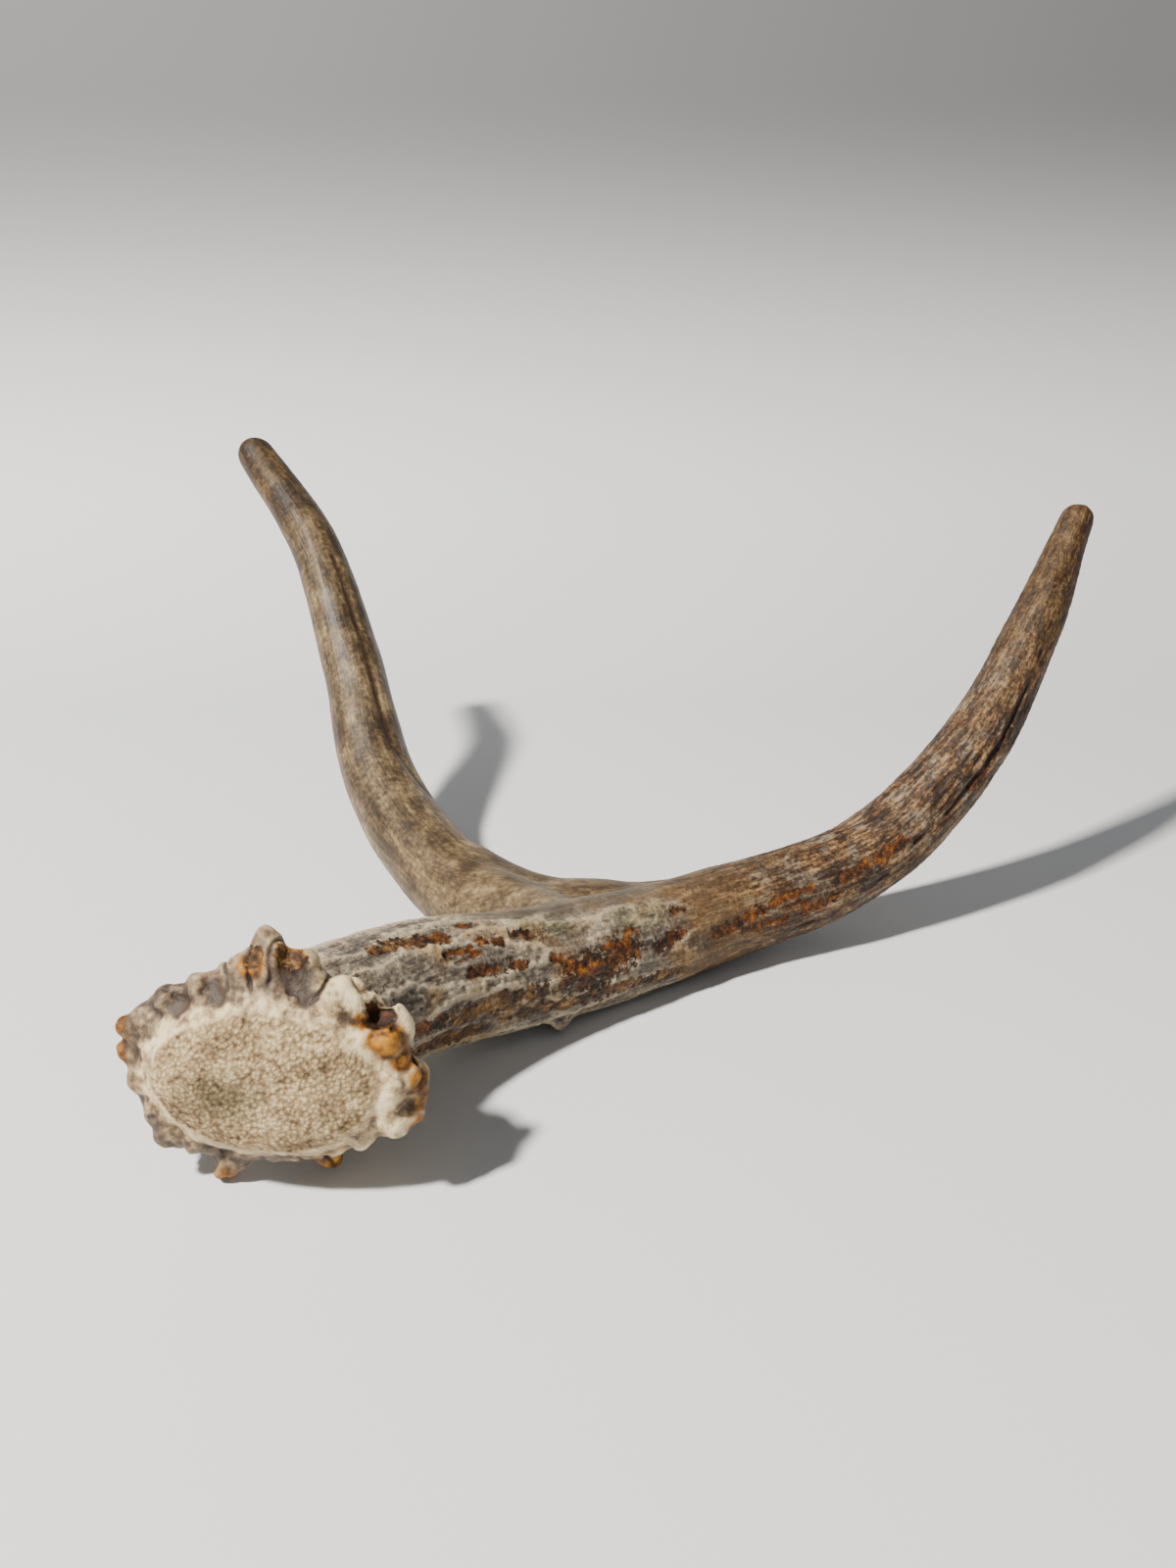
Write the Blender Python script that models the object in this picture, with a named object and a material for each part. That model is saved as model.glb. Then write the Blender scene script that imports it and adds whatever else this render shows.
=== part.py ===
"""A shed deer antler lying on its side: the beam with its burr, and the two tines of its one fork.

The antler grew as one piece. It is split at the fork into three solids with a thin gap between them.
Lengths are in millimetres here and turned into metres when the meshes are made. +Z is up, and the
origin is on the resting surface, under the middle of the antler's box.
"""

import math

import bmesh
import bpy
from mathutils import Matrix, Vector

MM = 0.001

# Driving dimensions, in millimetres.
GAP = 0.3  # left between neighbouring solids at the fork
RING_STEP = 6.0  # spacing of the rings along each limb
BEAM_SIDES = 48
TINE_SIDES = 24
SEAL_BULGE = 2.0  # how far the middle of the seal stands out

# The burr's seal and flange are ovals, wider than high, in planes square to BURR_AXIS.
SEAL_CENTRE = Vector((-70, -128.5, 25.5))
BURR_AXIS = Vector((0.10, 0.99, -0.10))  # from the seal into the antler
BURR_DEPTH = 19  # from the seal to where the plain beam starts

# The burr: rings as (distance behind the seal edge, half width, half height, share of the knob reach).
BURR_RINGS = (
    (-SEAL_BULGE, 7, 4.5, 0),
    (-0.65 * SEAL_BULGE, 14.5, 9.3, 0),
    (0, 21.2, 13.5, 0),
    (2.5, 24.5, 16.5, 0.4),
    (6.5, 27.5, 19, 0.9),
    (10.5, 26.5, 18.5, 1),
    (14.5, 19, 15.5, 0.2),
)

# Knobs round the flange: (direction, reach past the oval, half spread).
# Directions and spreads are in degrees, 0 to the right and 90 up.
BURR_KNOBS = (
    (90, 9.5, 13),
    (112, 3, 12),
    (132, 3, 12),
    (153, 4.5, 10),
    (174, 4, 9),
    (195, 2, 12),
    (219, 6.5, 13),
    (240, 9.6, 8),
    (290, 1, 12),
    (344, 2, 16),
    (21, 2.5, 12),
)

# Limb centrelines with their radii: (x, y, z, radius), from the root outwards.
BEAM_ROUTE = (
    (-69, -118.5, 25, 15),
    (-63, -103.5, 23.5, 14.6),
    (-47, -82.5, 20, 14),
    (-18, -59.5, 14, 13.5),
    (18, -35.5, 12.2, 12.5),
    (63, -16.5, 21, 11),
    (94.5, -0.5, 46.8, 9.5),
    (114.4, 17, 76.8, 7.4),
    (130.2, 36, 104.6, 4.8),
)
LEFT_ROUTE = (
    (-12.5, -55.5, 13.6, 11.5),
    (-29, -35.5, 11.6, 10.8),
    (-49, -11, 11.4, 11.9),
    (-73.5, 28.5, 25.5, 11.2),
    (-87.5, 63.5, 53.5, 9.7),
    (-104, 95, 88, 8.3),
    (-129.6, 126, 115.8, 6.4),
)
# The saddle that fills the crotch of the fork, from the left tine across to the right one.
SADDLE_ROUTE = (
    (-47, -9.5, 13.2, 10),
    (-25, -24, 10.4, 9),
    (7, -26, 9.6, 8.8),
    (41, -21.5, 13, 9),
    (65, -14.5, 20.6, 10),
)

# The solid web between the beam, the left tine and the saddle.
WEB_CENTRE = Vector((-12, -31, 11))
WEB_HALF_SIZES = (24, 14, 9.5)

# Where the limbs are parted: a point on the cut, and the direction of the limb there.
LEFT_CUT = (Vector((-52, -7.3, 12.4)), Vector((-0.62, 0.78, 0.05)))
RIGHT_CUT = (Vector((43, -25.5, 16)), Vector((0.92, 0.36, 0.16)))


def smooth_route(stations, step):
    """Points about `step` apart on a smooth curve through the stations; each is (x, y, z, radius)."""
    knots = [Vector(s) for s in stations]
    knots = [2 * knots[0] - knots[1], *knots, 2 * knots[-1] - knots[-2]]
    points = []
    for before, start, end, after in zip(knots, knots[1:], knots[2:], knots[3:]):
        pieces = max(1, round((end.xyz - start.xyz).length / step))
        for i in range(pieces):
            t = i / pieces
            bend = 2 * before - 5 * start + 4 * end - after
            twist = 3 * start - before - 3 * end + after
            points.append(0.5 * (2 * start + (end - before) * t + bend * t**2 + twist * t**3))
    points.append(knots[-2])
    return points


def rounded_tip(points):
    """Adds shrinking stations past the last point, so that the limb ends in a round tip."""
    last, before = points[-1], points[-2]
    forward = (last.xyz - before.xyz).normalized()
    radius = last.w
    tip = []
    for degrees in (25, 48, 68, 83):
        angle = math.radians(degrees)
        place = last.xyz + forward * radius * math.sin(angle)
        tip.append(Vector((*place, radius * math.cos(angle))))
    return points + tip


def ring_frames(points):
    """A matrix for each point: its Z runs along the limb, turning no more than the limb itself does."""
    frames = []
    side = Vector((1, 0, 0))
    for i, point in enumerate(points):
        ahead = points[min(i + 1, len(points) - 1)].xyz - points[max(i - 1, 0)].xyz
        ahead.normalize()
        side = (side - ahead * side.dot(ahead)).normalized()
        turn = Matrix((side, ahead.cross(side), ahead)).transposed()
        frames.append(Matrix.Translation(point.xyz) @ turn.to_4x4())
    return frames


def add_ring(bm, frame, half_width, half_height, sides):
    squeeze = Matrix.Diagonal((half_width, half_height, 1, 1))
    made = bmesh.ops.create_circle(bm, segments=sides, radius=1, matrix=frame @ squeeze)
    return made["verts"]


def ring_edges(ring):
    inside = set(ring)
    return list(dict.fromkeys(e for v in ring for e in v.link_edges if e.other_vert(v) in inside))


def loft(bm, rings):
    """Bridges each ring to the next and closes both ends."""
    edges = [ring_edges(ring) for ring in rings]
    for near, far in zip(edges, edges[1:]):
        bmesh.ops.bridge_loops(bm, edges=near + far)
    bmesh.ops.holes_fill(bm, edges=edges[0] + edges[-1], sides=0)
    bmesh.ops.recalc_face_normals(bm, faces=bm.faces[:])


def burr_frame():
    """The burr's own frame: X along the seal's long axis, Y up and Z out of the seal, seen face on."""
    out = -BURR_AXIS.normalized()
    right = Vector((0, 0, 1)).cross(out).normalized()
    turn = Matrix((right, out.cross(right), out)).transposed()
    return Matrix.Translation(SEAL_CENTRE) @ turn.to_4x4()


def knob_reach(direction):
    """How far the flange stands past its oval in this direction."""
    reach = 0
    for degrees, height, spread in BURR_KNOBS:
        off = (direction - degrees + 180) % 360 - 180
        reach = max(reach, height * math.exp(-((off / spread) ** 2)))
    return reach


def burr_rings(bm):
    frame = burr_frame()
    rings = []
    for depth, half_width, half_height, share in BURR_RINGS:
        place = frame @ Matrix.Translation((0, 0, -depth))
        ring = add_ring(bm, place, half_width, half_height, BEAM_SIDES)
        for vert in ring:
            spot = frame.inverted() @ vert.co
            outward = Vector((spot.x, spot.y, 0)).normalized()
            spot += outward * share * knob_reach(math.degrees(math.atan2(spot.y, spot.x)))
            vert.co = frame @ spot
        rings.append(ring)
    return rings


def beam_limb():
    """Seal, burr, beam and right tine in one loft."""
    bm = bmesh.new()
    rings = burr_rings(bm)
    into_burr = burr_frame().inverted()
    route = rounded_tip(smooth_route(BEAM_ROUTE, RING_STEP))
    for point, frame in zip(route, ring_frames(route)):
        if (into_burr @ point.xyz).z < -BURR_DEPTH:
            rings.append(add_ring(bm, frame, point.w, point.w, BEAM_SIDES))
    loft(bm, rings)
    return bm


def plain_limb(route):
    bm = bmesh.new()
    rings = []
    for point, frame in zip(route, ring_frames(route)):
        rings.append(add_ring(bm, frame, point.w, point.w, TINE_SIDES))
    loft(bm, rings)
    return bm


def web_blob():
    bm = bmesh.new()
    shape = Matrix.Translation(WEB_CENTRE) @ Matrix.Diagonal((*WEB_HALF_SIZES, 1))
    bmesh.ops.create_uvsphere(bm, u_segments=24, v_segments=14, radius=1, matrix=shape)
    return bm


def link_helper(name, bm):
    """A limb on its own, in metres, for the union. The mesh given is in millimetres."""
    bmesh.ops.scale(bm, vec=(MM, MM, MM), verts=bm.verts[:])
    mesh = bpy.data.meshes.new(name)
    bm.to_mesh(mesh)
    bm.free()
    made = bpy.data.objects.new(name, mesh)
    bpy.context.scene.collection.objects.link(made)
    made.hide_render = True
    made.display_type = "WIRE"
    return made


def whole_antler():
    """The united limbs, as one mesh in metres."""
    trunk = link_helper("trunk_guide", beam_limb())
    left = link_helper("left_guide", plain_limb(rounded_tip(smooth_route(LEFT_ROUTE, RING_STEP))))
    saddle = link_helper("saddle_guide", plain_limb(smooth_route(SADDLE_ROUTE, RING_STEP)))
    web = link_helper("web_guide", web_blob())
    for limb in (left, saddle, web):
        union = trunk.modifiers.new(limb.name, "BOOLEAN")
        union.operation = "UNION"
        union.object = limb
    graph = bpy.context.evaluated_depsgraph_get()
    return bpy.data.meshes.new_from_object(trunk.evaluated_get(graph))


def keep_behind(bm, point, normal):
    """Cuts off what lies past the plane, in metres, and closes the cut."""
    whole = bm.verts[:] + bm.edges[:] + bm.faces[:]
    cut = bmesh.ops.bisect_plane(
        bm, geom=whole, dist=1e-7, plane_co=point, plane_no=normal, clear_outer=True
    )
    rim = [item for item in cut["geom_cut"] if isinstance(item, bmesh.types.BMEdge)]
    bmesh.ops.holes_fill(bm, edges=rim, sides=0)


def add_solid(name, whole, cuts, colour, roughness):
    """One solid of the antler: the whole, cut by each (point in millimetres, normal) in turn."""
    bm = bmesh.new()
    bm.from_mesh(whole)
    for point, normal in cuts:
        keep_behind(bm, point * MM, normal)
    bmesh.ops.triangulate(bm, faces=bm.faces[:])
    mesh = bpy.data.meshes.new(name)
    bm.to_mesh(mesh)
    bm.free()
    mesh.shade_smooth()
    mesh.set_sharp_from_angle(angle=math.radians(50))
    material = bpy.data.materials.new(name)
    material.use_nodes = True
    shader = material.node_tree.nodes["Principled BSDF"]
    shader.inputs["Base Color"].default_value = (*colour, 1)
    shader.inputs["Roughness"].default_value = roughness
    mesh.materials.append(material)
    bpy.context.scene.collection.objects.link(bpy.data.objects.new(name, mesh))


def near_side(cut):
    point, direction = cut
    return point - direction.normalized() * GAP / 2, direction


def far_side(cut):
    point, direction = cut
    return point + direction.normalized() * GAP / 2, -direction


for thing in list(bpy.data.objects):
    bpy.data.objects.remove(thing, do_unlink=True)

surface = (Vector((0, 0, 0)), Vector((0, 0, -1)))
antler = whole_antler()
add_solid("beam", antler, (surface, near_side(LEFT_CUT), near_side(RIGHT_CUT)), (0.50, 0.45, 0.39), 0.7)
add_solid("left_tine", antler, (surface, far_side(LEFT_CUT)), (0.36, 0.29, 0.21), 0.6)
add_solid("right_tine", antler, (surface, far_side(RIGHT_CUT)), (0.38, 0.30, 0.21), 0.6)
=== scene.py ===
"""A shed deer antler: the weathered beam with its burr, a satin left tine and a streaked right one."""

import math

import bmesh
import bpy
import numpy as np
from mathutils import Matrix, Vector, kdtree, noise


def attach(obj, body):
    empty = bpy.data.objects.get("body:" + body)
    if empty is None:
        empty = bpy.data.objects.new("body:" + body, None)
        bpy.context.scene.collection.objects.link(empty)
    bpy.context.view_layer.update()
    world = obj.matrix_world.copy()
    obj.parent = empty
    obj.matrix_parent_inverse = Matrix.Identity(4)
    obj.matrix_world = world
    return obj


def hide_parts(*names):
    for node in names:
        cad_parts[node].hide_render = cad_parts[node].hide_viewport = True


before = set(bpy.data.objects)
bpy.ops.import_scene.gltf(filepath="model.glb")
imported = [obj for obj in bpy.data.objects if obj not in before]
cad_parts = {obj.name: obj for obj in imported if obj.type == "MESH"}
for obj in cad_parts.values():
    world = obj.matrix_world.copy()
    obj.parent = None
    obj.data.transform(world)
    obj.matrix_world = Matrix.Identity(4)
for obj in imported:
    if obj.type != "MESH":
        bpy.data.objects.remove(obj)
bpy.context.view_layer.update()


# ---- The grown shape ----
# The antler is one piece of bone. Its beam runs on into the right tine, the left tine leaves it at the
# fork, and a saddle of bone joins the two. One skin is grown over limbs and lobes alike, and cut into
# pieces later. Lengths in this script are millimetres until a mesh is finished.

MM = 0.001
SKIN_CELL = 0.5  # how fine the skin's mesh is
RING_STEP = 2.0  # between the rings of a limb
LIMB_SIDES = 48

# Stations along each limb's middle: (x, y, z, radius).
TRUNK_ROUTE = (
    (-69, -118.5, 25, 15),
    (-63, -103.5, 23.5, 14.6),
    (-47, -82.5, 20, 14),
    (-18, -59.5, 14, 13.5),
    (18, -35.5, 12.2, 12.5),
    (63, -16.5, 21, 11),
    (94.5, -0.5, 46.8, 9.5),
    (114.4, 17, 76.8, 7.4),
    (130.2, 36, 104.6, 4.8),
)
LEFT_ROUTE = (
    (-12.5, -55.5, 13.6, 11.5),
    (-29, -35.5, 11.6, 10.8),
    (-49, -11, 11.4, 11.9),
    (-73.5, 28.5, 25.5, 11.2),
    (-87.5, 63.5, 53.5, 9.7),
    (-104, 95, 88, 8.3),
    (-129.6, 126, 115.8, 6.4),
)
SADDLE_ROUTE = (
    (-47, -9.5, 13.2, 10),
    (-25, -24, 10.4, 9),
    (7, -26, 9.6, 8.8),
    (41, -21.5, 13, 9),
    (65, -14.5, 20.6, 10),
)
# The solid web of bone in the fork.
WEB_CENTRE = (-12, -31, 11)
WEB_HALF_SIZES = (24, 14, 9.5)


def smooth_route(stations, step):
    """Points about `step` apart on a smooth curve through the stations; each is (x, y, z, radius)."""
    knots = [Vector(s) for s in stations]
    knots = [2 * knots[0] - knots[1], *knots, 2 * knots[-1] - knots[-2]]
    points = []
    for before, start, end, after in zip(knots, knots[1:], knots[2:], knots[3:]):
        pieces = max(1, round((end.xyz - start.xyz).length / step))
        for i in range(pieces):
            t = i / pieces
            bend = 2 * before - 5 * start + 4 * end - after
            twist = 3 * start - before - 3 * end + after
            points.append(0.5 * (2 * start + (end - before) * t + bend * t**2 + twist * t**3))
    points.append(knots[-2])
    return points


def rounded_tip(points):
    """Adds shrinking stations past the last point, so that the limb ends in a round tip."""
    last, before = points[-1], points[-2]
    forward = (last.xyz - before.xyz).normalized()
    tip = []
    for degrees in (15, 30, 45, 58, 70, 80, 87):
        angle = math.radians(degrees)
        place = last.xyz + forward * last.w * math.sin(angle)
        tip.append(Vector((*place, last.w * math.cos(angle))))
    return points + tip


def ring_frames(points):
    """A matrix for each point: its Z runs along the limb, turning no more than the limb itself does."""
    frames = []
    side = Vector((1, 0, 0))
    for i, point in enumerate(points):
        ahead = points[min(i + 1, len(points) - 1)].xyz - points[max(i - 1, 0)].xyz
        ahead.normalize()
        side = (side - ahead * side.dot(ahead)).normalized()
        turn = Matrix((side, ahead.cross(side), ahead)).transposed()
        frames.append(Matrix.Translation(point.xyz) @ turn.to_4x4())
    return frames


def add_ring(bm, place, half_width, half_height, sides):
    squeeze = Matrix.Diagonal((half_width, half_height, 1, 1))
    return bmesh.ops.create_circle(bm, segments=sides, radius=1, matrix=place @ squeeze)["verts"]


def loft(bm, rings):
    """Bridges each ring to the next and closes both ends."""
    edges = []
    for ring in rings:
        inside = set(ring)
        round_ring = (e for v in ring for e in v.link_edges if e.other_vert(v) in inside)
        edges.append(list(dict.fromkeys(round_ring)))
    for near, far in zip(edges, edges[1:]):
        bmesh.ops.bridge_loops(bm, edges=near + far)
    bmesh.ops.holes_fill(bm, edges=edges[0] + edges[-1], sides=0)


def add_limb(bm, route):
    places = zip(route, ring_frames(route))
    loft(bm, [add_ring(bm, place, point.w, point.w, LIMB_SIDES) for point, place in places])


# The burr: a dish of bone round the oval seal, in planes square to its axis, edged with lobes and knobs.
SEAL_CENTRE = Vector((-70, -128.5, 25.5))
BURR_AXIS = Vector((0.10, 0.99, -0.10))  # from the seal into the antler
BURR_SIDES = 180
BURR_DEPTH = 19  # from the seal's edge to where the plain beam starts

# (depth behind the seal's edge, half width, half height, share of the rim lobes' reach)
BURR_RINGS = (
    (-2, 7, 4.5, 0),
    (-1.7, 12.5, 8, 0),
    (-1.0, 17.5, 11.2, 0),
    (0.2, 20.8, 13.3, 0),
    (1.6, 22.0, 14.6, 0.10),
    (3.2, 23.2, 16.0, 0.32),
    (4.8, 24.2, 17.1, 0.62),
    (6.4, 25.0, 17.8, 0.88),
    (8.0, 25.4, 18.0, 1),
    (9.6, 25.0, 17.8, 0.98),
    (11.2, 23.6, 17.2, 0.84),
    (12.8, 21.2, 16.4, 0.5),
    (14.8, 18.0, 15.6, 0.2),
    (17.2, 15.8, 15.0, 0),
)

# Lobes of the rim: (direction in degrees, 0 right and 90 up; reach past the oval; half spread in degrees)
RIM_LOBES = (
    (90, 4.6, 18),
    (93, 8.8, 8),
    (82, 5.6, 12),
    (103, 5.0, 12),
    (70, 3.6, 13),
    (51, 3.2, 11),
    (36, 3.4, 9),
    (22, 3.2, 9),
    (5, 1.0, 9),
    (-9, 3.2, 11),
    (-27, 2.8, 10),
    (-44, 0.8, 9),
    (-60, 1.2, 9),
    (-77, 1.6, 10),
    (-97, 2.2, 11),
    (-113, 6.6, 8),
    (-129, 5.6, 8),
    (-141, 8.2, 9),
    (-155, 6.4, 9),
    (-168, 5.4, 8),
    (179, 4.6, 8),
    (168, 5.6, 7),
    (157, 5.0, 8),
    (145, 3.6, 8),
    (130, 3.4, 10),
    (112, 4.2, 11),
)

# Bumps on the burr, seen face on with X right and Y up: (x, y, depth), then the half sizes along the
# radius, round the rim and deep.
BURR_BUMPS = (
    ((-0.6, 20.6, 8.8), (6.4, 5.0, 3.4)),
    ((-1.2, 24.6, 9.0), (3.2, 2.2, 2.6)),
    ((0.9, 21.6, 7.4), (4.8, 2.6, 2.6)),
    ((4.8, 19.0, 9.0), (4.8, 4.4, 3.4)),
    ((-6.4, 18.0, 9.2), (3.4, 5.0, 2.8)),
    ((-3.0, 20.2, 5.8), (2.6, 2.0, 2.4)),
    ((0.7, 20.4, 5.8), (2.6, 2.0, 2.4)),
    ((-2.4, 14.4, 3.4), (2.8, 3.0, 1.9)),
    ((4.6, 14.2, 3.6), (3.2, 1.7, 2.0)),
    ((11.4, 13.6, 5.0), (2.8, 2.8, 2.4)),
    ((14.6, 13.4, 6.6), (3.4, 3.4, 2.8)),
    ((17.2, 9.0, 3.4), (3.4, 2.2, 2.0)),
    ((22.0, 8.4, 4.6), (2.9, 3.4, 2.8)),
    ((24.0, 4.8, 5.6), (2.5, 2.6, 2.8)),
    ((24.3, 9.9, 8.8), (1.9, 4.8, 3.0)),
    ((22.6, -2.4, 3.4), (3.6, 7.6, 3.2)),
    ((23.8, -7.4, 3.4), (2.6, 3.6, 2.6)),
    ((26.7, 0.8, 6.4), (2.8, 3.2, 3.4)),
    ((27.1, -3.2, 6.2), (2.5, 2.9, 3.2)),
    ((26.4, -6.6, 5.4), (2.2, 2.4, 2.8)),
    ((-13.0, 14.8, 7.0), (4.0, 3.6, 3.0)),
    ((-19.4, 11.8, 7.2), (4.0, 4.2, 3.2)),
    ((-24.2, 7.8, 7.4), (3.6, 3.4, 2.8)),
    ((-27.6, 6.6, 7.2), (3.2, 2.5, 3.0)),
    ((-28.2, 1.8, 7.4), (3.2, 2.4, 3.0)),
    ((-25.6, -3.4, 6.4), (3.4, 4.2, 2.8)),
    ((-22.8, -9.0, 5.4), (3.2, 3.6, 2.6)),
    ((-20.4, -13.6, 5.4), (4.4, 3.0, 3.0)),
    ((-15.4, -14.8, 4.6), (3.2, 2.6, 2.6)),
    ((-9.4, -18.6, 7.4), (7.6, 3.0, 3.4)),
    ((7.0, -18.2, 11.0), (6.0, 3.6, 3.4)),
    ((17.6, -10.6, 4.0), (2.6, 4.6, 2.6)),
)

# Knobs low on the beam: centre, radius.
BEAM_KNOBS = (
    ((-18, -70.0, 4.5), 3.0),
    ((14, -46.0, 4.0), 2.6),
)

# Hollows sunk into the burr, which are also given painted shade: (x, y, depth), radius, how far they are
# sunk.
BURR_HOLLOWS = (
    ((-9.0, 15.6, 4.8), 3.2, 1.7),
    ((-2.8, 22.4, 5.0), 1.6, 0.7),
    ((4.0, 22.6, 6.0), 2.0, 0.8),
    ((8.0, 15.8, 3.6), 1.9, 0.8),
    ((20.2, 12.4, 6.8), 2.2, 3.2),
    ((15.0, 11.6, 3.6), 1.5, 0.8),
    ((-16.4, 12.6, 4.6), 2.6, 1.2),
    ((-21.4, 8.0, 5.0), 2.8, 1.1),
    ((-24.4, 1.0, 5.0), 1.8, 0.8),
    ((25.0, 1.8, 5.2), 1.0, 0.7),
    ((-12.4, -15.4, 3.6), 1.7, 0.8),
    ((4.0, 16.4, 4.4), 1.0, 0.8),
)

# Stains on the burr: (x, y, depth), radius. Rust is dark and pitted, amber a warm wash, tan a faint one.
BURR_RUST = (
    ((-2.5, 23.0, 5.4), 2.5),
    ((-1.4, 20.2, 4.8), 1.0),
    ((3.4, 23.4, 6.2), 2.1),
    ((5.2, 21.8, 7.2), 2.3),
    ((16.4, 12.2, 4.8), 1.0),
    ((19.4, 13.2, 6.8), 2.3),
    ((20.8, 11.4, 6.8), 2.2),
    ((24.4, 4.0, 6.6), 1.3),
    ((28.0, -4.6, 7.2), 1.9),
    ((9.6, -22.6, 10.5), 2.8),
)
BURR_AMBER = (
    ((-2.6, 21.6, 5.0), 2.6),
    ((4.0, 22.6, 6.5), 2.6),
    ((17.6, 11.4, 4.4), 1.8),
    ((22.2, 8.8, 3.8), 3.2),
    ((24.6, 4.4, 4.6), 2.4),
    ((26.8, 0.4, 5.4), 2.6),
    ((27.6, -3.4, 5.8), 2.4),
    ((26.8, -7.4, 5.0), 2.0),
    ((-29.8, 6.8, 6.2), 2.6),
    ((-30.4, 1.8, 6.4), 2.6),
    ((-10.6, -22.6, 7.5), 3.0),
    ((7.6, -19.8, 11.5), 4.2),
)
BURR_TAN = (
    ((19.0, -11.8, 3.8), 2.1),
    ((13.4, -13.4, 3.4), 2.0),
    ((7.4, -14.8, 3.6), 2.0),
    ((1.0, -15.6, 3.8), 2.0),
    ((-5.0, -15.8, 4.0), 2.0),
    ((-10.0, -12.4, 0.4), 2.4),
    ((-3.4, -12.4, 0.2), 2.6),
    ((4.6, -11.8, 0.2), 2.6),
)


def burr_frame():
    """The burr's own frame: X along the seal's long axis, Y up and Z out of the seal, seen face on."""
    out = -BURR_AXIS.normalized()
    right = Vector((0, 0, 1)).cross(out).normalized()
    turn = Matrix((right, out.cross(right), out)).transposed()
    return Matrix.Translation(SEAL_CENTRE) @ turn.to_4x4()


def rim_reach(direction):
    """How far the rim stands past its oval in this direction: round lobes with sharp notches between."""
    reach = 0
    for degrees, height, spread in RIM_LOBES:
        off = ((direction - degrees + 180) % 360 - 180) / spread
        if abs(off) < 1:
            reach = max(reach, height * (1 - off**2) ** 0.6)
    return reach


def add_trunk(bm, route):
    """Seal, burr, beam and right tine in one loft."""
    face = burr_frame()
    into_burr = face.inverted()
    rings = []
    for depth, half_width, half_height, share in BURR_RINGS:
        ring = add_ring(bm, face @ Matrix.Translation((0, 0, -depth)), half_width, half_height, BURR_SIDES)
        for vert in ring:
            spot = into_burr @ vert.co
            outward = Vector((spot.x, spot.y, 0)).normalized()
            spot += outward * share * rim_reach(math.degrees(math.atan2(spot.y, spot.x)))
            vert.co = face @ spot
        rings.append(ring)
    for point, place in zip(route, ring_frames(route)):
        if (into_burr @ point.xyz).z < -BURR_DEPTH:
            rings.append(add_ring(bm, place, point.w, point.w, BURR_SIDES))
    loft(bm, rings)


def add_bumps(bm):
    face = burr_frame()
    for (x, y, depth), half_sizes in BURR_BUMPS:
        turn = Matrix.Rotation(math.atan2(y, x), 4, "Z")
        place = face @ Matrix.Translation((x, y, -depth)) @ turn @ Matrix.Diagonal((*half_sizes, 1))
        bmesh.ops.create_icosphere(bm, subdivisions=3, radius=1, matrix=place)
    for centre, radius in BEAM_KNOBS:
        bmesh.ops.create_icosphere(bm, subdivisions=3, radius=radius, matrix=Matrix.Translation(centre))


def grow_skin():
    """One even skin over all the limbs, lobes and knobs, as a mesh in metres."""
    bm = bmesh.new()
    add_trunk(bm, rounded_tip(smooth_route(TRUNK_ROUTE, RING_STEP)))
    add_limb(bm, rounded_tip(smooth_route(LEFT_ROUTE, RING_STEP)))
    add_limb(bm, smooth_route(SADDLE_ROUTE, RING_STEP))
    web = Matrix.Translation(WEB_CENTRE) @ Matrix.Diagonal((*WEB_HALF_SIZES, 1))
    bmesh.ops.create_uvsphere(bm, u_segments=48, v_segments=28, radius=1, matrix=web)
    add_bumps(bm)
    bmesh.ops.recalc_face_normals(bm, faces=bm.faces[:])
    bmesh.ops.scale(bm, vec=(MM, MM, MM), verts=bm.verts[:])
    mesh = bpy.data.meshes.new("limbs")
    bm.to_mesh(mesh)
    bm.free()
    guide = bpy.data.objects.new("limbs", mesh)
    bpy.context.scene.collection.objects.link(guide)
    remesh = guide.modifiers.new("one_skin", "REMESH")
    remesh.mode = "VOXEL"
    remesh.voxel_size = SKIN_CELL * MM
    graph = bpy.context.evaluated_depsgraph_get()
    skin = bpy.data.meshes.new_from_object(guide.evaluated_get(graph))
    skin.name = "skin"
    bpy.data.objects.remove(guide)
    bpy.data.meshes.remove(mesh)
    return skin


# Creases rounded off more than the rest, where the limbs meet: centre, reach, rounds of smoothing.
CREASES = (
    ((-22, -34, 12), 46, 20),
    ((-22, -34, 12), 38, 25),
    ((-22, -34, 12), 30, 25),
    ((4, -34, 15), 20, 35),
)
COLLAR_DEPTHS = (1.5, 16)  # the burr is smoothed more between these depths
COLLAR_ROUNDS = 9
FINE_DEPTH = 9  # the skin is twice as fine down to this depth
FINE_ROUNDS = 2
SKIN_ROUNDS = 3


def smooth(bm, verts, rounds):
    """Draws each vertex halfway to the middle of its neighbours, over and over."""
    for _ in range(rounds):
        bmesh.ops.smooth_vert(
            bm, verts=verts, factor=0.5, use_axis_x=True, use_axis_y=True, use_axis_z=True
        )


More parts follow.
